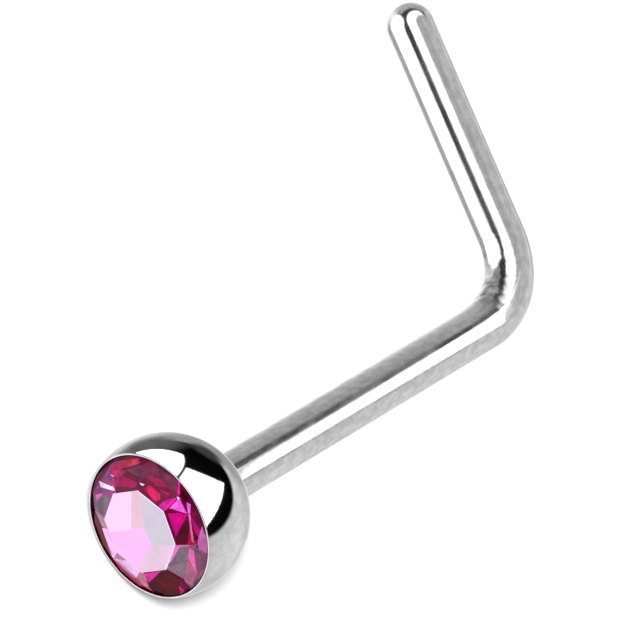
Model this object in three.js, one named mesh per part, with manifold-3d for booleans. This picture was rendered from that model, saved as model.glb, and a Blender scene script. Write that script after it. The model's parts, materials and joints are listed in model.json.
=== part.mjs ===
// Nose stud: a steel wire post with a bent leg, and a ball setting that holds a cut crystal.
// Millimetres, +Z up. The stud lies on its side, as it comes to rest by itself: the ball and
// the straight leg touch the ground, the post runs along +X and the leg points towards +Y.

import * as THREE from "three";
import { mergeVertices } from "three/addons/utils/BufferGeometryUtils.js";
import Module from "manifold-3d";

const wasm = await Module();
wasm.setup();

// Wire: one rod, rounded at its free end and bent once
const WIRE_DIAMETER = 0.8; // 20 gauge
const POST_LENGTH = 8.18; // back of the ball to the axis of the leg
const LEG_LENGTH = 5.39; // axis of the post to the end of the rounded tip
const BEND_ANGLE = THREE.MathUtils.degToRad(96); // between post and leg
const BEND_RADIUS = 1.37; // of the wire's centre line

// Ball setting: a ball cut flat at the front and bored to take the crystal
const BALL_DIAMETER = 2.56;
const FACE_OFFSET = 0.445; // ball centre to the flat front
const RIM_WALL = 0.03; // metal left round the crystal at the flat front
const CRYSTAL_CLEARANCE = 0.018; // between crystal and seat, all round

// Crystal: a round stone with a crown of eight long and eight short facets
const TABLE_SHARE = 0.615; // table across corners over crystal diameter
const CROWN_ANGLE = THREE.MathUtils.degToRad(24.8); // long crown facets to the table
const SHORT_FACET_ANGLE = THREE.MathUtils.degToRad(40.5); // short crown facets to the table
const SHORT_FACET_START = 0.87; // their upper corner, as a share of the crystal's radius
const GIRDLE_HEIGHT = 0.06; // plain band between crown and pavilion
const GIRDLE_DEPTH = 0.02; // top of that band below the flat front of the ball
const PAVILION_ANGLE = THREE.MathUtils.degToRad(41); // pavilion facets to the table
const CULET_SHARE = 0.04; // flat at the crystal's point, as a share of its radius
const CRYSTAL_TURN = THREE.MathUtils.degToRad(11); // table corner from the upright direction

// How finely round surfaces are divided
const WIRE_SIDES = 28;
const BEND_STEPS = 14;
const TIP_STEPS = 7;
const BALL_SIDES = 64;
const BALL_STEPS = 22;
const CRYSTAL_SIDES = 64;
const FACETS = 8;

// Sizes that follow from the ones above
const wireRadius = WIRE_DIAMETER / 2;
const ballRadius = BALL_DIAMETER / 2;
const rimRadius = Math.sqrt(ballRadius ** 2 - FACE_OFFSET ** 2);
const seatRadius = rimRadius - RIM_WALL;
const crystalRadius = seatRadius - CRYSTAL_CLEARANCE;

// Ball centre to the corner where the axes of post and leg cross
const cornerX = ballRadius + POST_LENGTH;
const turnAngle = Math.PI - BEND_ANGLE;
const tangentLength = BEND_RADIUS * Math.tan(turnAngle / 2);
const arcLength = BEND_RADIUS * turnAngle;

// In the crystal's own frame z = 0 is the top of the girdle and +Z is out of the table
const halfFacet = Math.PI / FACETS;
const tableApothem = TABLE_SHARE * crystalRadius * Math.cos(halfFacet);
const tableHeight = (crystalRadius - tableApothem) * Math.tan(CROWN_ANGLE);
const culetRadius = CULET_SHARE * crystalRadius;
const culetDepth = GIRDLE_HEIGHT + (crystalRadius - culetRadius) * Math.tan(PAVILION_ANGLE);

// Turns a closed geometry into a solid that can be joined and cut
function solid(geometry) {
  const bare = geometry.clone();
  bare.deleteAttribute("normal");
  bare.deleteAttribute("uv");
  const merged = mergeVertices(bare, 1e-5);
  return new wasm.Manifold(
    new wasm.Mesh({
      numProp: 3,
      vertProperties: new Float32Array(merged.attributes.position.array),
      triVerts: new Uint32Array(merged.index.array),
    }),
  );
}

// Turns a joined or cut solid back into a geometry
function geometryOf(made) {
  const { vertProperties, triVerts } = made.getMesh();
  const geometry = new THREE.BufferGeometry();
  geometry.setAttribute("position", new THREE.BufferAttribute(vertProperties, 3));
  geometry.setIndex(new THREE.BufferAttribute(triVerts, 1));
  const flat = geometry.toNonIndexed();
  flat.computeVertexNormals();
  return flat;
}

// Points of a round stretch from one angle to another, both ends included
function arc(radius, centre, from, to, steps) {
  return Array.from({ length: steps + 1 }, (_, i) => {
    const angle = from + ((to - from) * i) / steps;
    return new THREE.Vector2(radius * Math.cos(angle), centre + radius * Math.sin(angle));
  });
}

// The ball setting, turned about +X with its centre at the origin and its face towards -X.
// The seat is a straight wall as deep as the pavilion's ridges start, then a cone beside them.
function ballSetting() {
  const ridgeStart = crystalRadius * (1 - Math.cos(halfFacet)) * Math.tan(PAVILION_ANGLE);
  const ridgeSlope = Math.cos(halfFacet) * Math.tan(PAVILION_ANGLE);
  const girdleEnd = -FACE_OFFSET + GIRDLE_DEPTH + GIRDLE_HEIGHT;
  const wallEnd = girdleEnd + ridgeStart + CRYSTAL_CLEARANCE;
  const seatEnd = wallEnd + seatRadius * ridgeSlope;
  const faceAngle = Math.asin(-FACE_OFFSET / ballRadius);
  const outside = arc(ballRadius, 0, Math.PI / 2, faceAngle, BALL_STEPS);
  outside[0].x = 0;
  const profile = [
    ...outside,
    new THREE.Vector2(seatRadius, -FACE_OFFSET),
    new THREE.Vector2(seatRadius, wallEnd),
    new THREE.Vector2(0, seatEnd),
  ];
  const geometry = new THREE.LatheGeometry(profile.reverse(), BALL_SIDES).rotateZ(-Math.PI / 2);
  return { geometry, seatEnd };
}

// The wire: a straight rod with a rounded end, bent round the bend's centre.
// It is rooted in the metal behind the crystal's seat.
function bentWire(rootX) {
  const straight = cornerX - tangentLength - rootX;
  const length = straight + arcLength + LEG_LENGTH - tangentLength;
  const profile = [new THREE.Vector2(0, 0), new THREE.Vector2(wireRadius, 0)];
  for (let i = 0; i <= BEND_STEPS; i++) {
    profile.push(new THREE.Vector2(wireRadius, straight + (arcLength * i) / BEND_STEPS));
  }
  profile.push(...arc(wireRadius, length - wireRadius, 0, Math.PI / 2, TIP_STEPS));
  profile[profile.length - 1].x = 0;
  const rod = new THREE.LatheGeometry(profile, WIRE_SIDES);

  const position = rod.attributes.position;
  for (let i = 0; i < position.count; i++) {
    const along = position.getY(i);
    const bent = THREE.MathUtils.clamp((along - straight) / BEND_RADIUS, 0, turnAngle);
    const run = along - bent * BEND_RADIUS;
    const leg = Math.max(run - straight, 0);
    const inward = BEND_RADIUS - position.getZ(i);
    position.setXYZ(
      i,
      rootX + run - leg + inward * Math.sin(bent) + leg * Math.cos(bent),
      BEND_RADIUS - inward * Math.cos(bent) + leg * Math.sin(bent),
      position.getX(i),
    );
  }
  return rod;
}

// Setting and wire are soldered, so they are one solid
function steelStud() {
  const setting = ballSetting();
  const rootX = (setting.seatEnd + ballRadius) / 2;
  return geometryOf(solid(setting.geometry).add(solid(bentWire(rootX))));
}

// A block whose lower face is the plane of a facet. The facet leans by tilt from the table
// towards its azimuth, and passes at the given radius and height.
function facetCutter(tilt, azimuth, radius, height) {
  const block = 6 * crystalRadius;
  const distance = radius * Math.sin(tilt) + height * Math.cos(tilt);
  return new THREE.BoxGeometry(block, block, block)
    .translate(0, 0, distance + block / 2)
    .rotateY(tilt)
    .rotateZ(azimuth);
}

// The crystal, cut from a round blank facet by facet
function cutCrystal() {
  const height = tableHeight + culetDepth;
  const blank = new THREE.CylinderGeometry(crystalRadius, crystalRadius, height, CRYSTAL_SIDES)
    .rotateX(Math.PI / 2)
    .translate(0, 0, tableHeight - height / 2);
  const shortRadius = SHORT_FACET_START * crystalRadius;
  const shortFall = (shortRadius * Math.cos(halfFacet) - tableApothem) * Math.tan(CROWN_ANGLE);
  const shortHeight = tableHeight - shortFall;
  let stone = solid(blank);
  for (let i = 0; i < FACETS; i++) {
    const corner = CRYSTAL_TURN + i * 2 * halfFacet;
    const side = corner + halfFacet;
    for (const cutter of [
      facetCutter(CROWN_ANGLE, side, tableApothem, tableHeight),
      facetCutter(SHORT_FACET_ANGLE, corner, shortRadius, shortHeight),
      facetCutter(Math.PI - PAVILION_ANGLE, side, crystalRadius, -GIRDLE_HEIGHT),
    ]) {
      stone = stone.subtract(solid(cutter));
    }
  }
  return geometryOf(stone);
}

const polishedSteel = new THREE.MeshStandardMaterial({
  color: 0xc9cacc,
  roughness: 0.08,
  metalness: 1,
});
const pinkCrystal = new THREE.MeshStandardMaterial({
  color: 0xd4148c,
  roughness: 0.04,
  metalness: 0,
});

// The stud about its ball: post along +X, leg in the XY plane, table towards -X
const settingAndPost = new THREE.Mesh(steelStud(), polishedSteel);
settingAndPost.name = "setting_and_post";

const crystal = new THREE.Mesh(cutCrystal(), pinkCrystal);
crystal.name = "crystal";
crystal.position.x = -FACE_OFFSET + GIRDLE_DEPTH;
crystal.rotation.y = -Math.PI / 2;

const stud = new THREE.Group();
stud.add(settingAndPost, crystal);

// At rest the plane of the wire leans about the leg, which lies flat, up to the thicker ball
const headReach = cornerX * Math.sin(BEND_ANGLE);
const lean = Math.asin((ballRadius - wireRadius) / headReach);
const legDirection = new THREE.Vector3(Math.cos(turnAngle), Math.sin(turnAngle), 0);
stud.quaternion.setFromAxisAngle(legDirection, lean);

// The part's origin is below the middle of its outline, on the ground
const part = new THREE.Group();
part.add(stud);
part.updateMatrixWorld(true);
const outline = new THREE.Box3().setFromObject(stud, true);
const middle = outline.getCenter(new THREE.Vector3());
stud.position.set(-middle.x, -middle.y, -outline.min.z);

export default part;
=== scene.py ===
"""Looks for a nose stud: a turned steel setting, a bent steel wire and a cut pink crystal."""

import json
import math

import bmesh
import bpy
from bpy.props import FloatProperty, FloatVectorProperty, PointerProperty
from mathutils import Matrix, Vector, noise


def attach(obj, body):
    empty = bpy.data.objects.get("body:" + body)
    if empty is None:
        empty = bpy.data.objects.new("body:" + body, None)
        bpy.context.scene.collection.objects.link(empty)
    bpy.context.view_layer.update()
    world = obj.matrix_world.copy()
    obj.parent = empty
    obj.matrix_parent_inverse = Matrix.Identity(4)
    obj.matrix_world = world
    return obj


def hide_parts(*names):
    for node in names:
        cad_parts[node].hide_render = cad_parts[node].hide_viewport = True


bl_info = {
    "name": "Nose stud looks",
    "version": (1, 0, 0),
    "blender": (4, 5, 0),
    "location": "3D View > Sidebar > Stud",
    "description": "Builds the steel and the crystal of a nose stud, and its stage",
    "category": "Add Mesh",
}

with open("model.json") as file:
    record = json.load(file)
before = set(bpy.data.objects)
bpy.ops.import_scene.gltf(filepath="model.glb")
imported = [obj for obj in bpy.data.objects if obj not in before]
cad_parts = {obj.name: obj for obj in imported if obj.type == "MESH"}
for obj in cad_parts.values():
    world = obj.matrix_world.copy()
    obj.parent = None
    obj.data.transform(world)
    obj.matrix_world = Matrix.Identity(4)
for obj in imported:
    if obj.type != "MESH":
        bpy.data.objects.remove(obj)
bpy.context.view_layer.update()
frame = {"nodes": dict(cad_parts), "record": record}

MM = 0.001


# Sizes and colours


def length(name, description, millimetres):
    """A size that a user may change, in metres."""
    return FloatProperty(
        name=name,
        description=description,
        default=millimetres * MM,
        min=0.0,
        precision=6,
        unit="LENGTH",
    )


def share(name, description, value, highest=1.0):
    """A number without a unit that a user may change."""
    return FloatProperty(
        name=name, description=description, default=value, min=0.0, max=highest, subtype="FACTOR"
    )


def colour(name, description, value):
    """A colour that a user may change."""
    return FloatVectorProperty(
        name=name, description=description, default=value, min=0.0, max=1.0, size=3, subtype="COLOR"
    )


class StudSizes(bpy.types.PropertyGroup):
    """The sizes of the metal. They are the frame's, or a hair less where a round piece has to
    stay inside of its flat facets."""

    wire_diameter: length("Wire diameter", "Thickness of post and leg", 0.795)
    post_length: length("Post length", "Back of the ball to the axis of the leg", 8.18)
    leg_length: length("Leg length", "Axis of the post to the end of the tip", 5.386)
    bend_angle: FloatProperty(
        name="Bend angle",
        description="Angle between post and leg",
        default=math.radians(96),
        unit="ROTATION",
    )
    bend_radius: length("Bend radius", "Radius of the wire's centre line in the bend", 1.37)
    ball_diameter: length("Ball diameter", "Outside of the ball setting", 2.557)
    face_offset: length("Face offset", "Ball centre to the flat front", 0.445)
    rim_wall: length("Rim wall", "Metal left round the crystal at the front", 0.03)
    table_reach: length("Table reach", "Ball centre to the crystal's table", 0.655)
    girdle_depth: length("Girdle depth", "Top of the girdle below the front", 0.02)


class SteelFinish(bpy.types.PropertyGroup):
    """The polished steel."""

    bright: colour("Bright steel", "Polished steel at its lightest", (0.86, 0.86, 0.865))
    shade: colour("Shaded steel", "Polished steel in its fine marks", (0.66, 0.66, 0.67))
    # Painted shade: the colour of darker blotches on the inner side of the bend
    worked: colour("Painted bend shade", "Steel in the marks of the bending tool", (0.2, 0.2, 0.205))
    ball_roughness: share("Ball roughness", "Blur of what the ball reflects", 0.05)
    wire_roughness: share("Wire roughness", "Blur of what the wire reflects", 0.15)


def shade_of(name, red, green, blue):
    """A colour of the stone's glints, told as a screen shows it, from 0 to 255."""

    def linear(value):
        value /= 255
        return value / 12.92 if value <= 0.04045 else ((value + 0.055) / 1.055) ** 2.4

    return colour(name, "One of the colours in the stone", tuple(map(linear, (red, green, blue))))


class CrystalFinish(bpy.types.PropertyGroup):
    """The cut crystal."""

    roughness: share("Facet roughness", "Blur of what the facets reflect", 0.03)
    # Painted glow: emission in the glints' own colours, for light that the foil behind the stone
    # throws back
    glow: share("Glow", "Light that the foil behind the stone throws back", 0.03)
    # Colours of the painted reflections and glints on the facets
    pale_pink: shade_of("Pale pink", 253, 214, 250)
    white_pink: shade_of("White pink", 251, 228, 255)
    rose_white: shade_of("Rose white", 233, 196, 212)
    lavender: shade_of("Lavender", 207, 200, 216)
    light_lavender: shade_of("Light lavender", 228, 200, 222)
    orchid: shade_of("Orchid", 252, 193, 248)
    crimson: shade_of("Crimson", 196, 58, 84)
    crimson_deep: shade_of("Crimson deep", 160, 38, 85)
    crimson_magenta: shade_of("Crimson magenta", 205, 35, 95)
    raspberry: shade_of("Raspberry", 115, 37, 68)
    raspberry_light: shade_of("Raspberry light", 178, 46, 100)
    mauve_dark: shade_of("Mauve dark", 112, 62, 84)
    mauve_grey: shade_of("Mauve grey", 124, 106, 122)
    mauve_shade: shade_of("Mauve shade", 140, 84, 116)
    mauve_pink: shade_of("Mauve pink", 214, 112, 184)
    mauve_rose: shade_of("Mauve rose", 225, 120, 200)
    maroon: shade_of("Maroon", 98, 36, 64)
    rose_dark: shade_of("Rose dark", 122, 52, 80)
    rose: shade_of("Rose", 205, 115, 145)
    dusty_rose: shade_of("Dusty rose", 170, 85, 120)
    salmon: shade_of("Salmon", 172, 124, 148)
    wine: shade_of("Wine", 112, 10, 58)
    garnet: shade_of("Garnet", 80, 10, 22)
    blood: shade_of("Blood", 88, 12, 34)
    ruby: shade_of("Ruby", 192, 16, 66)
    ruby_dark: shade_of("Ruby dark", 140, 14, 52)
    magenta: shade_of("Magenta", 212, 0, 130)
    magenta_deep: shade_of("Magenta deep", 200, 10, 120)
    magenta_pink: shade_of("Magenta pink", 228, 40, 158)
    hot_pink: shade_of("Hot pink", 243, 100, 228)
    pink_streak: shade_of("Pink streak", 243, 112, 188)
    plum: shade_of("Plum", 150, 72, 130)


class StageSettings(bpy.types.PropertyGroup):
    """Floor, light and camera."""

    floor: colour("Floor", "Colour of the floor", (0.5, 0.5, 0.5))
    surround: share("Surround", "Brightness of the plain light all round", 0.94, 4.0)
    key: share("Floor key", "Light on the floor that the head stands in the way of", 188.0, 400.0)
    lens: FloatProperty(
        name="Lens", description="Focal length on a 36 mm sensor", default=271.7936, unit="CAMERA"
    )


# Node maths


class Wire:
    """A socket of a node tree that can stand in a Python expression."""

    def __init__(self, shader, socket):
        self.shader = shader
        self.socket = socket

    def maths(self, operation, first, second):
        """One sum as a node."""
        return self.shader.add("ShaderNodeMath", {"operation": operation}, {0: first, 1: second})

    def __add__(self, other):
        return self.maths("ADD", self, other)

    def __radd__(self, other):
        return self.maths("ADD", other, self)

    def __sub__(self, other):
        return self.maths("SUBTRACT", self, other)

    def __rsub__(self, other):
        return self.maths("SUBTRACT", other, self)

    def __mul__(self, other):
        return self.maths("MULTIPLY", self, other)

    def __rmul__(self, other):
        return self.maths("MULTIPLY", other, self)


class Shader:
    """A node tree that is being filled. Every node but the sums comes from add()."""

    def __init__(self, tree):
        tree.nodes.clear()
        self.tree = tree

    def add(self, kind, settings=None, sockets=None, output=0):
        """A node, with its settings made first and its sockets then filled or linked."""
        node = self.tree.nodes.new(kind)
        for name, value in (settings or {}).items():
            setattr(node, name, value)
        for name, value in (sockets or {}).items():
            if isinstance(value, Wire):
                self.tree.links.new(value.socket, node.inputs[name])
            else:
                node.inputs[name].default_value = value
        return Wire(self, node.outputs[output]) if node.outputs else None

    def between(self, value, low, high, low_result=0.0, high_result=1.0):
        """A smooth step from low_result to high_result as value goes from low to high."""
        return self.add(
            "ShaderNodeMapRange",
            {"interpolation_type": "SMOOTHSTEP"},
            {0: value, 1: low, 2: high, 3: low_result, 4: high_result},
        )

    def blend(self, share, first, second, way="MIX"):
        """A colour from first to second, or to what way makes of the two."""
        return self.add(
            "ShaderNodeMix",
            {"data_type": "RGBA", "blend_type": way},
            {0: share, 6: first, 7: second},
            output=2,
        )

    def agreement(self, direction, other):
        """The cosine of the angle between two directions."""
        return self.add(
            "ShaderNodeVectorMath", {"operation": "DOT_PRODUCT"}, {0: direction, 1: other}, output=1
        )

    def grain(self, place, scale, detail=2.0, roughness=0.5):
        """Noise from 0 to 1 over a place."""
        return self.add(
            "ShaderNodeTexNoise",
            None,
            {"Vector": place, "Scale": scale, "Detail": detail, "Roughness": roughness},
        )


def tone(rgb):
    """A colour socket's four numbers."""
    return (*rgb, 1.0)


def new_material(name):
    """A material, and its node tree ready to be filled."""
    material = bpy.data.materials.new(name)
    material.use_nodes = True
    return material, Shader(material.node_tree)


CLOUD_GRAIN = 0.22  # grain of the wide clouds on steel, as a share of the piece's own
FINE_GRAIN = 2.5  # the same of its finest marks
CLOUD_SHARE = 0.3  # how much of the steel's shading comes from the clouds
BEND_SHADE_GRAIN = 5.0  # blotches of painted shade in the bend, to a millimetre
DULLEST, BRIGHTEST = 1.25, 0.85  # from what to what times its roughness the steel goes


def steel(name, finish, roughness, grain_size, stretch, depth):
    """Polished steel with fine marks, and with painted shade: darker blotches on the inner side
    of a bend. Places on the piece are in its own surface attribute."""
    material, shader = new_material(name)
    place = shader.add("ShaderNodeAttribute", {"attribute_name": "surface"}, output=1)
    place = shader.add(
        "ShaderNodeVectorMath", {"operation": "MULTIPLY"}, {0: place, 1: (1.0 / stretch, 1.0, 1.0)}
    )
    mottle = shader.between(shader.grain(place, grain_size, 3.0, 0.6), 0.36, 0.64)
    cloud = shader.between(shader.grain(place, grain_size * CLOUD_GRAIN), 0.35, 0.65)
    marks = mottle * (1 - CLOUD_SHARE) + cloud * CLOUD_SHARE
    # Painted shade, in darker blotches on the inner side of the bend
    worked = shader.add("ShaderNodeAttribute", {"attribute_name": "worked"}, output=2)
    worked = worked * shader.between(shader.grain(place, BEND_SHADE_GRAIN, 3.0, 0.65), 0.62, 0.36)
    plain = shader.blend(marks, tone(finish.shade), tone(finish.bright))
    fine = shader.grain(place, grain_size * FINE_GRAIN)
    bump = shader.add(
        "ShaderNodeBump", None, {"Strength": 1.0, "Distance": depth, "Height": fine * 0.5 + mottle}
    )
    surface = shader.add(
        "ShaderNodeBsdfPrincipled",
        None,
        {
            "Base Color": shader.blend(worked, plain, tone(finish.worked)),
            "Metallic": 1.0,
            "Roughness": shader.between(
                cloud, 0.0, 1.0, roughness * DULLEST, roughness * BRIGHTEST
            ),
            "Normal": bump,
        },
    )
    shader.add("ShaderNodeOutputMaterial", None, {"Surface": surface})
    return material


STONE_GRAIN = 2600.0  # clouds in the stone to a metre
SPARK_GRAIN = 9000.0  # painted sparks in it to a metre
SPARK_SHARE = 0.35  # how strong a painted spark is
DUSKY_TINT = (0.62, 0.8, 0.78)  # what a glint's colour is multiplied by in a cloud
CLEAR_TINT = (1.12, 0.98, 1.0)  # the same outside of it
SPARK_TINT = (1.6, 1.5, 1.6)  # the same in a painted spark


def cut_glass(name, finish):
    """Glass over foil: each glint's own colour, painted reflection and painted glow, under a clear,
    sharp gloss. The alpha of the glint attribute tells how much the clouds and painted sparks
    change it."""
    material, shader = new_material(name)
    glint = shader.add("ShaderNodeAttribute", {"attribute_name": "glint"}, output=0)
    depth = shader.add("ShaderNodeAttribute", {"attribute_name": "glint"}, output=3)
    place = shader.add("ShaderNodeTexCoord", output=3)
    cloud = shader.between(shader.grain(place, STONE_GRAIN, 3.0, 0.6), 0.36, 0.62)
    spark = shader.between(shader.grain(place, SPARK_GRAIN), 0.58, 0.72)
    dusky = shader.blend(cloud, tone(DUSKY_TINT), tone(CLEAR_TINT))
    lively = shader.blend(spark * SPARK_SHARE, dusky, tone(SPARK_TINT))
    shaded = shader.blend(depth, glint, lively, "MULTIPLY")
    surface = shader.add(
        "ShaderNodeBsdfPrincipled",
        None,
        {
            "Base Color": shaded,
            "Roughness": finish.roughness,
            "IOR": 1.55,
            "Specular IOR Level": 0.08,
            # Painted glow: the stone's colours again as emission
            "Emission Color": shaded,
            "Emission Strength": finish.glow,
        },
    )
    shader.add("ShaderNodeOutputMaterial", None, {"Surface": surface})
    return material


# Where the stud lies


def leg_direction(sizes):
    """The way the leg points, in the stud's own frame."""
    turn = math.pi - sizes.bend_angle
    return Vector((math.cos(turn), math.sin(turn), 0.0))


def lying(sizes):
    """From the stud's own frame, ball centre at the origin and post along +X, to the row's."""
    table = next(m for m in frame["record"]["mounts"] if m["name"] == "table")
    centre = Vector(table["pos_m"]) - Vector(table["axis"]) * sizes.table_reach
    corner = sizes.ball_diameter / 2 + sizes.post_length
    rise = (sizes.ball_diameter - sizes.wire_diameter) / 2
    lean = math.asin(rise / (corner * math.sin(sizes.bend_angle)))
    return Matrix.Translation(centre) @ Matrix.Rotation(lean, 4, leg_direction(sizes))


def finished(name, mesh, material, place, replaced):
    """A piece from a mesh in the stud's frame, riding on the frame and standing for a node."""
    mesh.transform(place)
    mesh.materials.append(material)
    piece = bpy.data.objects.new(name, mesh)
    bpy.context.scene.collection.objects.link(piece)
    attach(piece, "root")
    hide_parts(replaced)
    return piece


def mark_surface(mesh, places):
    """Keeps each point's place on the piece as it was before bending, in millimetres, for
    its finish."""
    attribute = mesh.attributes.new("surface", "FLOAT_VECTOR", "POINT")
    attribute.data.foreach_set("vector", [c / MM for place in places for c in place])


def ring_mesh(name, rings):
    """A smooth tube through rings of points, closed by a flat face at each end."""
    mesh = bpy.data.meshes.new(name)
    sides = len(rings[0])
    points = [p for ring in rings for p in ring]
    faces = []
    for i in range(len(rings) - 1):
        for j in range(sides):
            k = (j + 1) % sides
            faces.append((i * sides + j, i * sides + k, (i + 1) * sides + k, (i + 1) * sides + j))
    for ring, order in ((0, -1), (len(rings) - 1, 1)):
        faces.append(tuple(ring * sides + j for j in range(sides))[::order])
    mesh.from_pydata(points, [], faces)
    mesh.polygons.foreach_set("use_smooth", [True] * len(mesh.polygons))
    return mesh


# The ball setting

BALL_SIDES = 192
BALL_STEPS = 110
LIP_STEPS = 5
LIP_OUTER = 0.009 * MM  # how far the rim's outer edge is eased
LIP_INNER = 0.008 * MM  # how far its inner edge is
SEAT_WALL = 0.145 * MM  # depth of the seat's straight wall
SEAT_END = 0.64 * MM  # ball centre to the point of the seat
SEAT_POINT = 0.02 * MM  # radius of that point
BALL_GRAIN = 5.0  # marks to a millimetre
BALL_MARK_DEPTH = 0.00002 * MM


def eased_corner(before, corner, after, reach):
    """A corner of a profile, rounded over a reach along each side."""
    start = corner + (before - corner).normalized() * reach
    end = corner + (after - corner).normalized() * reach
    bow = []
    for i in range(LIP_STEPS + 1):
        t = i / LIP_STEPS
        bow.append(start * (1 - t) ** 2 + corner * 2 * t * (1 - t) + end * t**2)
    return bow


def setting_profile(sizes):
    """The setting's outline beside its axis, as (along, out), from the back to the seat's point."""
    radius = sizes.ball_diameter / 2
    face = -sizes.face_offset
    rim = math.sqrt(radius**2 - face**2)
    seat = rim - sizes.rim_wall
    last = math.acos(face / radius)
    outside = []
    for i in range(1, BALL_STEPS):
        angle = last * i / BALL_STEPS
        outside.append(Vector((radius * math.cos(angle), radius * math.sin(angle))))
    outer = Vector((face, rim))
    inner = Vector((face, seat))
    wall = Vector((face + SEAT_WALL, seat))
    return [
        *outside,
        *eased_corner(outside[-1], outer, inner, LIP_OUTER),
        *eased_corner(outer, inner, wall, LIP_INNER),
        wall,
        Vector((SEAT_END, SEAT_POINT)),
    ]


class STUD_OT_setting(bpy.types.Operator):
    """Turns the ball setting that holds the crystal"""

    bl_idname = "stud.setting"
    bl_label = "Ball setting"

    def execute(self, context):
        sizes, finish = context.scene.stud_sizes, context.scene.stud_steel
        rings, places = [], []
        for point in setting_profile(sizes):
            ring = []
            for j in range(BALL_SIDES):
                angle = 2 * math.pi * j / BALL_SIDES
                across, up = point.y * math.cos(angle), point.y * math.sin(angle)
                ring.append(Vector((point.x, across, up)))
            places += ring
            rings.append(ring)
        mesh = ring_mesh("ball_setting", rings)
        mark_surface(mesh, places)
        material = steel(
            "turned_steel", finish, finish.ball_roughness, BALL_GRAIN, 1.0, BALL_MARK_DEPTH
        )
        finished(
            "ball_setting", mesh, material, lying(sizes), "setting_and_post"
        )
        return {"FINISHED"}


# The wire

WIRE_SIDES = 96
RING_SPACING = 0.08 * MM
BEND_SPACING = 0.022 * MM
TIP_RINGS = 16
BULGE = 0.055 * MM  # how far the inner side of the bend swells
SPREAD = 0.035 * MM  # how far its outer side does, nearer to the leg
RIPPLE = 0.006 * MM  # depth of the marks that bending left on the inner side
# Where on the bend each of these is: its middle and its reach to both sides, in degrees
BULGE_SPAN = (20, 42)
SPREAD_SPAN = (52, 40)
RING_SPAN = (62, 34)
BLOTCH_SPAN = (18, 34)
DARK_SPAN = (22, 42)
RING_DARKNESS = 0.55  # how dark the painted shade is among the rings, beside that nearer the post
SHADED_SIDE = 0.32  # how far inward the painted shade starts, from 0 at the wire's middle to 1
ROOT = 1.0 * MM  # where the wire starts inside of the ball
BEFORE_BEND = 0.4 * MM  # how far before the bend the rings are close together
AFTER_BEND = 0.5 * MM  # how far after it they are
WIRE_GRAIN = 9.0  # marks to a millimetre
WIRE_STRETCH = 1.6  # length of a mark over its width
WIRE_MARK_DEPTH = 0.0002 * MM


def bend_reach(sizes):
    """From where the axes of post and leg cross to either end of the bend."""
    return sizes.bend_radius * math.tan((math.pi - sizes.bend_angle) / 2)


def bend_start(sizes):
    """The run along the post from the ball's centre to the start of the bend."""
    corner = sizes.ball_diameter / 2 + sizes.post_length
    return corner - bend_reach(sizes)


def bent_so_far(sizes, run):
    """How far the wire has bent at a run along it, in degrees, or would have if it went on."""
    return math.degrees((run - bend_start(sizes)) / sizes.bend_radius)


def wire_line(sizes, run):
    """The centre line's place and direction at a run along it from the ball's centre."""
    turn = math.pi - sizes.bend_angle
    straight = bend_start(sizes)
    angle = min(max((run - straight) / sizes.bend_radius, 0.0), turn)
    along = Vector((math.cos(angle), math.sin(angle), 0.0))
    place = Vector(
        (
            straight + sizes.bend_radius * math.sin(angle),
            sizes.bend_radius * (1 - math.cos(angle)),
            0.0,
        )
    )
    return place + along * (run - straight - angle * sizes.bend_radius), along


def hump(value, middle, reach):
    """1 at the middle and 0 beyond reach, smooth."""
    off = min(abs(value - middle) / reach, 1.0)
    return (1 - off * off) ** 2


def wire_swell(sizes, run, angle):
    """How far the wire's surface lies out of round, at a run along it and an angle round it."""
    bent = bent_so_far(sizes, run)
    inner = max(math.cos(angle), 0.0)
    swell = BULGE * hump(bent, *BULGE_SPAN) * inner**1.5
    swell += SPREAD * hump(bent, *SPREAD_SPAN) * max(-math.cos(angle), 0.0) ** 1.5
    along, across = run / MM, angle * 0.4
    rings = noise.noise((along * 9.0, across * 1.5, 3.0)) * hump(bent, *RING_SPAN)
    blotches = noise.noise((along * 5.5, across * 6.0, 8.0)) * hump(bent, *BLOTCH_SPAN)
    swell += RIPPLE * (rings + 1.2 * blotches) * inner
    return swell


def inner_bend_shade(sizes, place):
    """How much painted shade a place on the wire gets: the inner side of the bend."""
    bent = bent_so_far(sizes, place.x)
    inner = 2 * place.y / sizes.wire_diameter
    side = min(max(2.4 * (inner - SHADED_SIDE), 0.0), 1.0)
    return side * max(hump(bent, *DARK_SPAN), RING_DARKNESS * hump(bent, *RING_SPAN))


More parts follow.
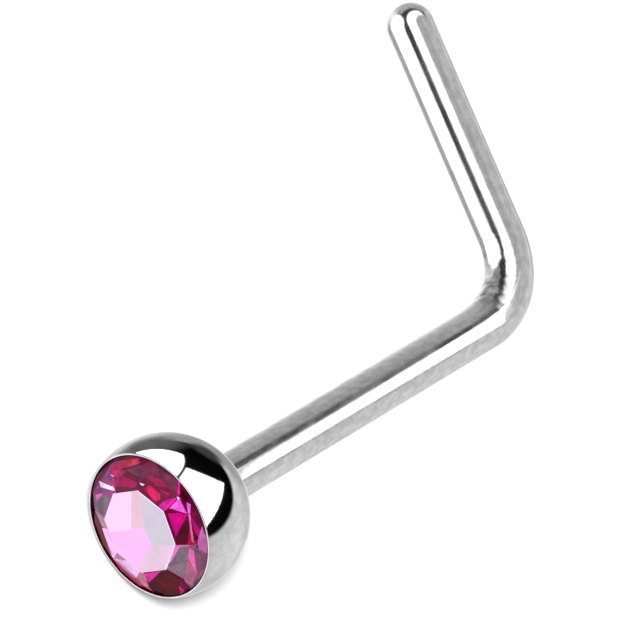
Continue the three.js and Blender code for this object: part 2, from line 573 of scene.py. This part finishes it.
class STUD_OT_wire(bpy.types.Operator):
    """Draws the wire: the post, the bend, and the leg with its rounded tip"""

    bl_idname = "stud.wire"
    bl_label = "Wire"

    def execute(self, context):
        sizes, finish = context.scene.stud_sizes, context.scene.stud_steel
        radius = sizes.wire_diameter / 2
        bend = bend_start(sizes)
        leg = bend + (math.pi - sizes.bend_angle) * sizes.bend_radius
        end = leg + sizes.leg_length - bend_reach(sizes)
        stations = []
        for first, last, spacing in (
            (ROOT, bend - BEFORE_BEND, RING_SPACING),
            (bend - BEFORE_BEND, leg + AFTER_BEND, BEND_SPACING),
            (leg + AFTER_BEND, end - radius, RING_SPACING),
        ):
            steps = round((last - first) / spacing)
            stations += [(first + (last - first) * i / steps, radius) for i in range(steps)]
        for i in range(TIP_RINGS):
            angle = math.pi / 2 * i / TIP_RINGS
            stations.append((end - radius + radius * math.sin(angle), radius * math.cos(angle)))
        rings, places = [], []
        for run, out in stations:
            centre, along = wire_line(sizes, run)
            side = Vector((-along.y, along.x, 0.0))
            ring = []
            for j in range(WIRE_SIDES):
                angle = 2 * math.pi * j / WIRE_SIDES
                outward = side * math.cos(angle) + Vector((0.0, 0.0, math.sin(angle)))
                ring.append(centre + outward * (out + wire_swell(sizes, run, angle)))
                places.append(Vector((run, radius * math.cos(angle), radius * math.sin(angle))))
            rings.append(ring)
        mesh = ring_mesh("bent_wire", rings)
        mark_surface(mesh, places)
        # Where the painted shade lies: the inner side of the bend
        worked = mesh.attributes.new("worked", "FLOAT", "POINT")
        worked.data.foreach_set("value", [inner_bend_shade(sizes, place) for place in places])
        material = steel(
            "drawn_steel", finish, finish.wire_roughness, WIRE_GRAIN, WIRE_STRETCH, WIRE_MARK_DEPTH
        )
        wire = finished(
            "bent_wire", mesh, material, lying(sizes), "setting_and_post"
        )
        wire.visible_glossy = False  # the ball mirrors the studio alone
        return {"FINISHED"}


# The crystal. A cut stone shows its pavilion mirrored many times over, so each facet of the
# table and crown is divided into patches of colour: painted reflections and painted glints, fixed
# on the facets. Corners are in the stone's own frame, in shares of its radius, and a later patch
# lies over an earlier one.

TABLE_REFLECTIONS = (
    ("pale_pink", ((-1.06, 0.27), (-0.13, 0.07), (0.28, 0.6), (-0.51, 0.79))),  # left of the table
    ("rose_white", ((-0.13, 0.07), (0.13, 0.03), (0.4, 0.56), (0.28, 0.6))),  # warm strip
    (  # lower left of the table
        "orchid",
        ((-1.33, -0.41), (-0.71, -0.58), (-0.28, -0.4), (0.09, -0.22), (0.1, 0.04), (-0.13, 0.07),
         (-1.06, 0.27)),
    ),
    (  # lower right of the table
        "light_lavender",
        ((-0.28, -0.4), (-0.71, -0.58), (0.03, -0.77), (0.6, -0.38), (0.09, -0.22)),
    ),
)
CROWN_REFLECTIONS = (
    (  # top field
        "raspberry",
        ((-0.16, 0.51), (0.6, 0.11), (0.86, 0.07), (0.95, 0.39), (0.67, 0.77), (0.31, 0.99),
         (-0.16, 1.02), (-0.48, 0.84)),
    ),
    (  # right field
        "wine",
        ((0.85, 0.23), (0.54, 0.12), (0.48, -0.34), (0.86, -0.53), (1.03, -0.28), (1.02, 0.11),
         (0.92, 0.41)),
    ),
    (  # lower right field
        "dusty_rose",
        ((0.08, -0.61), (0, -1.07), (0.35, -0.96), (0.68, -0.76), (0.88, -0.51), (0.45, -0.33)),
    ),
    (  # bottom field
        "garnet",
        ((-0.68, -0.47), (-0.77, -0.74), (-0.5, -0.97), (-0.16, -1.05), (0.12, -0.99),
         (0.21, -0.81), (0.12, -0.57)),
    ),
    (  # left edge
        "garnet",
        ((-1.03, 0.31), (-1.07, -0.23), (-0.82, -0.2), (-0.71, 0.23), (-0.67, 0.52), (-0.85, 0.57)),
    ),
    (  # lower left edge
        "ruby_dark",
        ((-1.09, -0.36), (-0.75, -0.85), (-0.57, -0.87), (-0.69, -0.55), (-0.82, -0.2),
         (-0.71, 0.23)),
    ),
    (  # lower left field
        "orchid",
        ((-0.84, -0.2), (-0.75, -0.27), (-0.62, -0.57), (-0.29, -0.52), (-0.4, 0.19),
         (-0.74, 0.24)),
    ),
    (  # left field
        "mauve_grey",
        ((-0.73, 0.53), (-0.55, 0.38), (-0.46, 0.31), (-0.04, 0.61), (-0.46, 0.74), (-0.65, 0.71)),
    ),
    (  # upper left field
        "plum",
        ((-0.07, 0.55), (-0.05, 0.77), (-0.15, 0.96), (-0.36, 0.88), (-0.66, 0.69)),
    ),
    ("maroon", ((-0.37, 0.82), (-0.06, 0.95), (-0.16, 1.02), (-0.52, 0.82))),  # upper left rim
    ("maroon", ((-0.06, 0.95), (0.32, 0.95), (0.32, 0.98), (-0.16, 1.02))),  # top rim
    ("crimson", ((0.09, 0.85), (0.46, 0.81), (0.43, 0.88), (0.06, 0.96))),  # crimson glow
    (  # beside the glow
        "raspberry_light",
        ((-0.1, 0.85), (0.02, 0.75), (0.21, 0.79), (0.09, 0.85), (0.06, 0.96), (-0.14, 0.95)),
    ),
    (  # under the glow
        "crimson_deep",
        ((-0.03, 0.67), (0.3, 0.55), (0.36, 0.6), (0.06, 0.78), (-0.05, 0.75)),
    ),
    ("mauve_dark", ((0.48, 0.61), (0.67, 0.7), (0.48, 0.78), (0.19, 0.81))),  # shade at the top
    (  # shade at the top right
        "rose_dark",
        ((0.48, 0.61), (0.77, 0.36), (0.86, 0.25), (0.93, 0.39), (0.6, 0.77), (0.48, 0.78)),
    ),
    ("crimson_deep", ((0.59, 0.47), (0.76, 0.37), (0.69, 0.51), (0.55, 0.62))),  # red in the shade
    ("maroon", ((0.34, 0.47), (0.3, 0.54), (-0.02, 0.66), (-0.1, 0.56))),  # shade by the table
    (  # streak
        "crimson_magenta",
        ((0.53, 0.28), (0.61, 0.27), (0.63, 0.34), (0.52, 0.51), (0.43, 0.49)),
    ),
    ("pale_pink", ((0.41, 0.55), (0.44, 0.53), (0.46, 0.54), (0.4, 0.59))),  # glint on the streak
    ("crimson_magenta", ((0.72, 0.28), (0.77, 0.28), (0.64, 0.4))),  # small streak
    (  # pink under the streak
        "magenta_pink",
        ((0.61, 0.11), (0.74, 0.15), (0.85, 0.2), (0.67, 0.24), (0.56, 0.21)),
    ),
    ("magenta_pink", ((0.85, 0.21), (0.89, 0.23), (0.93, 0.37), (0.92, 0.41))),  # edge streak
    ("garnet", ((0.88, 0.2), (0.92, 0.1), (0.95, 0.12), (0.91, 0.31))),  # edge shade
    ("hot_pink", ((0.85, -0.05), (0.87, 0.19), (0.69, 0.12))),  # bright triangle
    ("white_pink", ((0.84, 0.17), (0.87, 0.18), (0.84, 0.22))),  # white tip
    ("hot_pink", ((0.86, -0.05), (0.89, -0.06), (0.95, 0.04), (0.92, 0.09))),  # bright sliver
    ("magenta", ((0.6, -0.06), (0.57, -0.25), (0.85, -0.06), (0.65, 0.1))),  # full magenta
    ("blood", ((0.64, 0.07), (0.74, 0.02), (0.72, 0.1), (0.6, 0.12))),  # dark beside it
    (  # red shade
        "blood",
        ((0.6, -0.24), (0.5, -0.34), (0.68, -0.44), (0.79, -0.24), (0.8, -0.11)),
    ),
    ("ruby", ((0.64, -0.42), (0.71, -0.46), (0.8, -0.42), (0.79, -0.21))),  # ruby flash
    ("magenta_deep", ((0.8, -0.35), (0.84, -0.44), (0.89, -0.39), (0.87, -0.09))),  # fan
    ("blood", ((0.75, -0.41), (0.78, -0.43), (0.81, -0.43), (0.81, -0.26))),  # fan shade
    ("pink_streak", ((0.71, -0.4), (0.72, -0.44), (0.88, -0.07), (0.86, -0.06))),  # thin streak
    ("wine", ((0.9, -0.1), (0.9, -0.38), (0.95, -0.24), (0.99, 0.02))),  # rim shade
    (  # rim mauve
        "mauve_pink",
        ((0.78, -0.43), (0.7, -0.57), (0.74, -0.66), (0.89, -0.45), (0.93, -0.28)),
    ),
    ("wine", ((0.72, -0.49), (0.73, -0.53), (0.75, -0.47))),  # dark tip
    (  # pink corner
        "mauve_rose",
        ((0.21, -0.55), (0.29, -0.52), (0.53, -0.41), (0.68, -0.45), (0.47, -0.34)),
    ),
    (  # grey facet
        "mauve_grey",
        ((0.29, -0.52), (0.15, -0.59), (0.22, -0.82), (0.47, -0.61), (0.67, -0.45), (0.53, -0.4)),
    ),
    (  # rim grey
        "mauve_shade",
        ((0.56, -0.66), (0.4, -0.89), (0.61, -0.8), (0.75, -0.65), (0.69, -0.48)),
    ),
    ("pink_streak", ((0.5, -0.59), (0.43, -0.82), (0.65, -0.53), (0.63, -0.47))),  # pink sliver
    ("rose", ((0.22, -0.82), (0.2, -0.96), (0.43, -0.82), (0.47, -0.61))),  # rose
    (  # lower rim
        "mauve_shade",
        ((0.41, -0.87), (0.2, -0.96), (0.06, -1.04), (0.4, -0.94), (0.59, -0.81)),
    ),
    (  # wine by the grey facet
        "wine",
        ((0.03, -0.96), (0.15, -0.98), (0.22, -0.82), (0.16, -0.77)),
    ),
    ("magenta", ((-0.1, -1.03), (0.04, -0.97), (0.05, -0.87))),  # magenta at the bottom
    ("magenta_pink", ((-0.4, -0.68), (0.02, -0.59), (-0.35, -0.53))),  # magenta triangle
    ("rose", ((-0.57, -0.84), (-0.32, -0.55), (-0.34, -0.48), (-0.63, -0.56))),  # pale wedge
    ("ruby", ((-0.69, -0.76), (-0.57, -0.87), (-0.62, -0.58), (-0.72, -0.53))),  # red edge
    ("salmon", ((-0.84, -0.2), (-0.47, -0.29), (-0.56, -0.12))),  # salmon triangle
    ("mauve_pink", ((-0.72, -0.53), (-0.64, -0.57), (-0.75, -0.27), (-0.86, -0.2))),  # violet edge
    ("salmon", ((-0.71, 0.25), (-0.53, 0.2), (-0.48, 0.36), (-0.71, 0.5))),  # dusty left
    ("white_pink", ((-0.42, 0.74), (-0.07, 0.63), (-0.1, 0.69), (-0.43, 0.82))),  # white patch
    ("pale_pink", ((-0.08, 0.81), (-0.04, 0.8), (-0.12, 0.85))),  # white fleck
    ("mauve_pink", ((-0.61, 0.59), (-0.38, 0.66), (-0.62, 0.67))),  # mauve left
)
TABLE_EDGE = 0.035  # width of the painted highlight along the table's edges, as a share of the radius
EDGE_OVERLAP = 1.01  # how far past the table that painted highlight starts
BRIGHT_EDGES = (-100, 60)  # from where to where round the stone the edges with painted highlights lie, in degrees
WELD = 0.0004  # corners of the frame's stone that lie closer are one
SAME_FACET = math.radians(0.8)  # faces that meet flatter than this are one facet
LEVEL = 0.99  # how upright a face's normal is on the table, at least
CROWN_LEAN = 0.1  # and how upright it is on the crown, at least
TABLE_PLAY, CROWN_PLAY = 0.12, 0.9  # how much clouds and sparks change table and crown
PLAY_SIZE = 2.2  # grain of the slow change of colour over the stone


def crystal_frame(sizes):
    """From the stone's own frame, +Z out of its table, to the stud's."""
    axes = Matrix(((0, 0, -1), (0, 1, 0), (1, 0, 0))).to_4x4()
    return Matrix.Translation((-sizes.face_offset + sizes.girdle_depth, 0, 0)) @ axes


def inside(point, corners):
    """Whether a point lies in an outline."""
    odd = False
    for (ax, ay), (bx, by) in zip(corners, (*corners[1:], corners[0])):
        if (ay > point.y) != (by > point.y):
            crossing = ax + (bx - ax) * (point.y - ay) / (by - ay)
            odd = odd != (point.x < crossing)
    return odd


def cut_along(cutting, chosen, corners):
    """Cuts the chosen faces along each side of an outline."""
    xs, ys = [c[0] for c in corners], [c[1] for c in corners]
    for (ax, ay), (bx, by) in zip(corners, (*corners[1:], corners[0])):
        near = []
        for face in cutting.faces:
            if not chosen(face):
                continue
            spots = [v.co for v in face.verts]
            if (
                max(c.x for c in spots) > min(xs)
                and min(c.x for c in spots) < max(xs)
                and max(c.y for c in spots) > min(ys)
                and min(c.y for c in spots) < max(ys)
            ):
                near.append(face)
        edges = {edge for face in near for edge in face.edges}
        verts = {vert for face in near for vert in face.verts}
        bmesh.ops.bisect_plane(
            cutting,
            geom=[*verts, *edges, *near],
            dist=1e-6,
            plane_co=(ax, ay, 0),
            plane_no=(by - ay, ax - bx, 0),
        )


def is_table(face):
    """Whether a face of the stone, in its own frame, is part of the table."""
    return face.normal.z > LEVEL


def is_crown(face):
    """Whether it is part of the crown round the table."""
    return CROWN_LEAN < face.normal.z <= LEVEL


class STUD_OT_crystal(bpy.types.Operator):
    """Cuts the crystal along the frame's own stone and colours its facets"""

    bl_idname = "stud.crystal"
    bl_label = "Crystal"

    def execute(self, context):
        sizes, finish = context.scene.stud_sizes, context.scene.stud_crystal
        to_row = lying(sizes) @ crystal_frame(sizes)
        mesh = frame["nodes"]["crystal"].data.copy()
        mesh.name = "cut_crystal"
        mesh.materials.clear()
        cutting = bmesh.new()
        cutting.from_mesh(mesh)
        bmesh.ops.transform(cutting, matrix=to_row.inverted(), verts=cutting.verts)
        radius = max(v.co.to_2d().length for v in cutting.verts)
        bmesh.ops.scale(cutting, vec=[1 / radius] * 3, verts=cutting.verts)
        bmesh.ops.remove_doubles(cutting, verts=cutting.verts, dist=WELD)
        bmesh.ops.dissolve_limit(
            cutting, angle_limit=SAME_FACET, verts=cutting.verts, edges=cutting.edges
        )
        bmesh.ops.recalc_face_normals(cutting, faces=cutting.faces)
        table = max(cutting.faces, key=lambda face: face.normal.z * face.calc_area())
        rim = [vert.co.to_2d() for vert in table.verts]
        # Painted highlights: a white-pink strip along each table edge on one side of the stone
        edge_highlights = []
        for first, second in zip(rim, [*rim[1:], rim[0]]):
            middle = (first + second) / 2
            way = math.degrees(math.atan2(middle.y, middle.x))
            if BRIGHT_EDGES[0] < way < BRIGHT_EDGES[1]:
                outer = [corner * EDGE_OVERLAP for corner in (first, second)]
                inner = [corner * (1 - TABLE_EDGE) for corner in (second, first)]
                edge_highlights.append(("white_pink", [tuple(c) for c in (*outer, *inner)]))
        table_reflections = (*TABLE_REFLECTIONS, *edge_highlights)
        for patches, chosen in ((table_reflections, is_table), (CROWN_REFLECTIONS, is_crown)):
            for _, corners in patches:
                cut_along(cutting, chosen, corners)
        glints = cutting.loops.layers.float_color.new("glint")
        # Each face takes the colour of the painted reflection over its middle
        for face in cutting.faces:
            face.smooth = False
            if is_table(face):
                shade, patches, depth = "lavender", table_reflections, TABLE_PLAY
            elif is_crown(face):
                shade, patches, depth = "raspberry", CROWN_REFLECTIONS, CROWN_PLAY
            else:
                shade, patches, depth = "wine", (), CROWN_PLAY
            middle = face.calc_center_median()
            for patch_shade, corners in patches:
                if inside(middle, corners):
                    shade = patch_shade
            # Each glint has its own stretch of the noise
            drift = Vector((len(shade) * 3.1, middle.x * 40, middle.y * 40))
            for loop in face.loops:
                play = 1 + 0.5 * depth * noise.noise(loop.vert.co * PLAY_SIZE + drift)
                loop[glints] = (*(c * play for c in getattr(finish, shade)), depth)
        bmesh.ops.scale(cutting, vec=[radius] * 3, verts=cutting.verts)
        cutting.to_mesh(mesh)
        cutting.free()
        material = cut_glass("pink_glass", finish)
        finished("cut_crystal", mesh, material, to_row, "crystal")
        return {"FINISHED"}


# The stage. Directions are told as seen from the camera: how far round from the camera
# itself, and which way from the picture's right towards its top, in degrees.

CAMERA_PLACE = Vector((-48.0381, 1.8169, 59.3062)) * MM
CAMERA_RIGHT = Vector((0.673851, -0.468157, 0.571623))
CAMERA_UP = Vector((0.378755, 0.883136, 0.276794))
CAMERA_BACK = Vector((-0.634404, 0.029988, 0.772420))
SENSOR = 36.0  # its width in millimetres
FLOOR_HALF = 0.5  # middle of the floor to its edge
PANEL_DISTANCE = 0.4  # from the stud to the panels all round it
NEAR_PANEL = 2.5 * MM  # from the start of the bend to the panel beside the post
KEY_DISTANCE = 0.5  # from the ball to the lamp that throws its shadow
KEY_TOWARD = Vector((-0.8, 0.194, 1.28)).normalized()
KEY_REACH = 5.5  # degrees from its middle to its edge, which make the shadow soft
WIRE_FOCUS = Vector((0.0, 0.0, 1.0)) * MM  # what the wire's own panels face

# Brightness of what the steel mirrors
WINDOW_WHITE = 2.2
STRIP_WHITE = 1.8
STRIP_DARK = 0.04
POST_WHITE = 1.5
LEFT_WHITE = 1.6
WALL_GREY = 0.36
SIDE_GREY = 0.12
RIM_GREY = 0.5


def heading(round_from, way):
    """A direction in the row's frame."""
    off, turned = math.radians(round_from), math.radians(way)
    return (
        CAMERA_RIGHT * (math.sin(off) * math.cos(turned))
        + CAMERA_UP * (math.sin(off) * math.sin(turned))
        + CAMERA_BACK * math.cos(off)
    )


def round_patches(shader, direction):
    """A function that makes round patches over all directions."""

    def within(round_from, way, reach, soft):
        """1 within reach degrees of a heading and 0 beyond, over a soft edge."""
        near = shader.agreement(direction, heading(round_from, way))
        outer = math.cos(math.radians(min(reach + soft, 180)))
        inner = math.cos(math.radians(max(reach - soft, 0)))
        return shader.between(near, outer, inner)

    return within


def over(level, mask, new_level):
    """A brightness with another one painted over it."""
    return level + (new_level - level) * mask


def paint_world(settings):
    """Plain light for floor and stone, and a studio of soft grey panels for the steel to mirror."""
    world = bpy.data.worlds.new("studio")
    world.use_nodes = True
    shader = Shader(world.node_tree)
    around = shader.add("ShaderNodeTexCoord", output=0)
    within = round_patches(shader, around)
    # Grey walls, lighter towards the picture's top, with a few lighter and darker panels
    level = shader.between(shader.agreement(around, heading(95, 90)), -0.9, 0.9, 0.60, 0.74)
    level = over(level, within(178, 120, 12, 14), 0.9)
    level = over(level, within(148, 55, 13, 16), 0.38)
    level = over(level, within(128, -38, 24, 12), 0.74)
    level = over(level, within(128, -160, 18, 10), 0.45)
    # Dark studio beyond the window panels, fading upwards
    level = over(level, within(49, 70, 81.5, 3), 0.0)
    level = over(level, within(129, 58, 3, 13), 0.06)
    level = over(level, within(122, 108, 18, 16), 0.14)
    painted = shader.add(
        "ShaderNodeBackground", None, {"Color": tone((1.0, 1.0, 1.0)), "Strength": level}
    )
    plain = shader.add(
        "ShaderNodeBackground",
        None,
        {"Color": tone((1.0, 1.0, 1.0)), "Strength": settings.surround},
    )
    mirrored = shader.add("ShaderNodeLightPath", output=3)
    surface = shader.add("ShaderNodeMixShader", None, {0: mirrored, 1: plain, 2: painted})
    shader.add("ShaderNodeOutputWorld", None, {"Surface": surface})
    bpy.context.scene.world = world


def pieces(name, *members):
    """A group of pieces that a lamp lights, or that stand in its way."""
    group = bpy.data.collections.new(name)
    for piece in members:
        group.objects.link(bpy.data.objects[piece])
    return group


def lamp(name, data, toward, distance, focus, lit, blocking):
    """A lamp that shines on the focus from one direction, on one group of pieces only."""
    light = bpy.data.objects.new(name, data)
    light.matrix_world = (
        Matrix.Translation(focus + toward * distance)
        @ toward.to_track_quat("Z", "Y").to_matrix().to_4x4()
    )
    light.visible_camera = False
    bpy.context.scene.collection.objects.link(light)
    light.light_linking.receiver_collection = lit
    light.light_linking.blocker_collection = blocking


def round_panel(name, toward, reach, brightness, distance, focus, lit, blocking):
    """A round panel of even light that spans reach degrees to each side of its middle."""
    data = bpy.data.lights.new(name, "AREA")
    data.shape = "DISK"
    data.size = 2 * distance * math.tan(math.radians(reach))
    data.energy = brightness * math.pi * math.pi * data.size**2 / 4
    lamp(name, data, toward, distance, focus, lit, blocking)


def painted_panel(name, toward, reach, paint, distance, focus, lit, blocking):
    """A square panel of light that spans reach degrees to each side, with its brightness
    painted over it by the direction in which the focus sees it."""
    data = bpy.data.lights.new(name, "AREA")
    data.shape = "SQUARE"
    data.size = 2 * distance * math.tan(math.radians(reach))
    data.energy = math.pi * data.size**2
    data.use_nodes = True
    shader = Shader(data.node_tree)
    spot = shader.add("ShaderNodeNewGeometry")
    offset = shader.add("ShaderNodeVectorMath", {"operation": "SUBTRACT"}, {0: spot, 1: focus})
    direction = shader.add("ShaderNodeVectorMath", {"operation": "NORMALIZE"}, {0: offset})
    level = paint(round_patches(shader, direction))
    surface = shader.add("ShaderNodeEmission", None, {"Strength": level})
    shader.add("ShaderNodeOutputLight", None, {"Surface": surface})
    lamp(name, data, toward, distance, focus, lit, blocking)


def paint_windows(within):
    """Two white windows side by side with a thin gap between them. Each edge is a round one."""
    left = within(81.7, 114.5, 42.4, 1) * (1 - within(159.5, 23.4, 68.9, 1))
    right = (
        (1 - within(119.6, 71.7, 41.9, 1))
        * (1 - within(125.7, -54.9, 76.8, 1))
        * (1 - within(87.3, 131.3, 63.4, 1))
    )
    return WINDOW_WHITE * (left + right)


def paint_strips(within):
    """The strips that run round the bend as lines along the wire: dark, white, grey and a
    lighter grey."""
    post_dark = within(96.5, 46, 9.5, 2)
    white = within(41.8, 41.8, 48, 2)
    level = (STRIP_DARK + (STRIP_WHITE - STRIP_DARK) * white) * (1 - post_dark)
    level = over(level, within(61.3, 14.4, 34.5, 2), 0.44)
    level = over(level, within(78.1, 11.3, 18.8, 8), 0.62)
    return over(level, within(114, 20, 24, 4) * within(49, 70, 81.5, 3), 0.56)


def paint_post(within):
    """The white strip beside the post, between two straight edges. It ends at the bend."""
    strip = within(90.2, -45.5, 90, 1.5) * within(66.9, 94.7, 90, 1.5)
    return POST_WHITE * strip * within(45.3, -150.3, 131.5, 1.2)


def paint_left(within):
    """The white window on the leg's left, which fades out round the bend."""
    return LEFT_WHITE * within(74, 175, 40.5, 2) * within(75, -175, 48, 9)


def paint_above(within):
    """The grey wall above, from where the dark line along the wire starts."""
    return WALL_GREY * (1 - within(34.1, 62.3, 62.6, 2)) * within(120, 100, 52, 10)


def paint_side(within):
    """A faint light on the side of the ball, outside of the dark studio."""
    return SIDE_GREY * (1 - within(49, 70, 83.5, 4)) * within(105, -15, 32, 14)


class STUD_OT_stage(bpy.types.Operator):
    """Sets the floor, the studio light and the camera"""

    bl_idname = "stud.stage"
    bl_label = "Stage"

    def execute(self, context):
        settings = context.scene.stud_stage
        sizes = context.scene.stud_sizes
        mesh = bpy.data.meshes.new("floor")
        corners = ((-1, -1), (1, -1), (1, 1), (-1, 1))
        mesh.from_pydata([(x * FLOOR_HALF, y * FLOOR_HALF, 0) for x, y in corners], [], [range(4)])
        material, shader = new_material("pale_floor")
        surface = shader.add(
            "ShaderNodeBsdfPrincipled",
            None,
            {"Base Color": tone(settings.floor), "Roughness": 0.9, "Specular IOR Level": 0.0},
        )
        shader.add("ShaderNodeOutputMaterial", None, {"Surface": surface})
        mesh.materials.append(material)
        floor = bpy.data.objects.new("floor", mesh)
        context.scene.collection.objects.link(floor)
        floor.visible_glossy = False

        paint_world(settings)
        ball = lying(sizes).translation
        bend = lying(sizes) @ Vector((bend_start(sizes), 0.0, 0.0))
        on_ball = pieces("lit_as_ball", "ball_setting")
        on_wire = pieces("lit_as_wire", "bent_wire")
        on_floor = pieces("lit_as_floor", "floor")
        stud = pieces("stud", "ball_setting", "bent_wire", "cut_crystal")
        head = pieces("head", "ball_setting", "cut_crystal")
        nothing = pieces("nothing")
        round_ball = (PANEL_DISTANCE, ball, on_ball)
        round_wire = (PANEL_DISTANCE, WIRE_FOCUS, on_wire)
        at_bend = (NEAR_PANEL, bend, on_wire)
        over_floor = (KEY_DISTANCE, ball, on_floor)
        painted_panel("windows", heading(85, 50), 66, paint_windows, *round_ball, stud)
        painted_panel("ball_side", heading(105, -15), 50, paint_side, *round_ball, stud)
        round_panel("rim_light", heading(91, -150), 22, RIM_GREY, *round_ball, nothing)
        painted_panel("strips", heading(55, 45), 76, paint_strips, *round_wire, nothing)
        painted_panel("wire_left", heading(80, 170), 58, paint_left, *round_wire, nothing)
        painted_panel("beside_post", heading(93, 22), 65, paint_post, *at_bend, nothing)
        painted_panel("wire_above", heading(120, 100), 64, paint_above, *round_wire, nothing)
        round_panel("floor_key", KEY_TOWARD, KEY_REACH, settings.key, *over_floor, head)

        camera = bpy.data.cameras.new("camera")
        camera.lens = settings.lens
        camera.sensor_width = SENSOR
        camera.clip_start, camera.clip_end = 0.001, 10.0
        eye = bpy.data.objects.new("camera", camera)
        eye.matrix_world = Matrix.Translation(CAMERA_PLACE) @ Matrix(
            (CAMERA_RIGHT, CAMERA_UP, CAMERA_BACK)
        ).transposed().to_4x4()
        context.scene.collection.objects.link(eye)
        context.scene.camera = eye
        context.scene.view_settings.view_transform = "Standard"
        return {"FINISHED"}


class STUD_PT_sidebar(bpy.types.Panel):
    """Lists the stud's pieces and its stage"""

    bl_label = "Nose stud"
    bl_space_type = "VIEW_3D"
    bl_region_type = "UI"
    bl_category = "Stud"

    def draw(self, context):
        for group in GROUPS:
            settings = getattr(context.scene, group)
            for name in settings.__annotations__:
                self.layout.prop(settings, name)
        for operator in OPERATORS:
            self.layout.operator(operator.bl_idname)


OPERATORS = (STUD_OT_setting, STUD_OT_wire, STUD_OT_crystal, STUD_OT_stage)
GROUPS = {
    "stud_sizes": StudSizes,
    "stud_steel": SteelFinish,
    "stud_crystal": CrystalFinish,
    "stud_stage": StageSettings,
}


def register():
    for made in (*GROUPS.values(), *OPERATORS, STUD_PT_sidebar):
        bpy.utils.register_class(made)
    for name, group in GROUPS.items():
        setattr(bpy.types.Scene, name, PointerProperty(type=group))


def unregister():
    for name in GROUPS:
        delattr(bpy.types.Scene, name)
    for made in (STUD_PT_sidebar, *OPERATORS[::-1], *tuple(GROUPS.values())[::-1]):
        bpy.utils.unregister_class(made)


def main():
    register()
    bpy.ops.stud.setting()
    bpy.ops.stud.wire()
    bpy.ops.stud.crystal()
    bpy.ops.stud.stage()


if __name__ == "__main__":
    main()
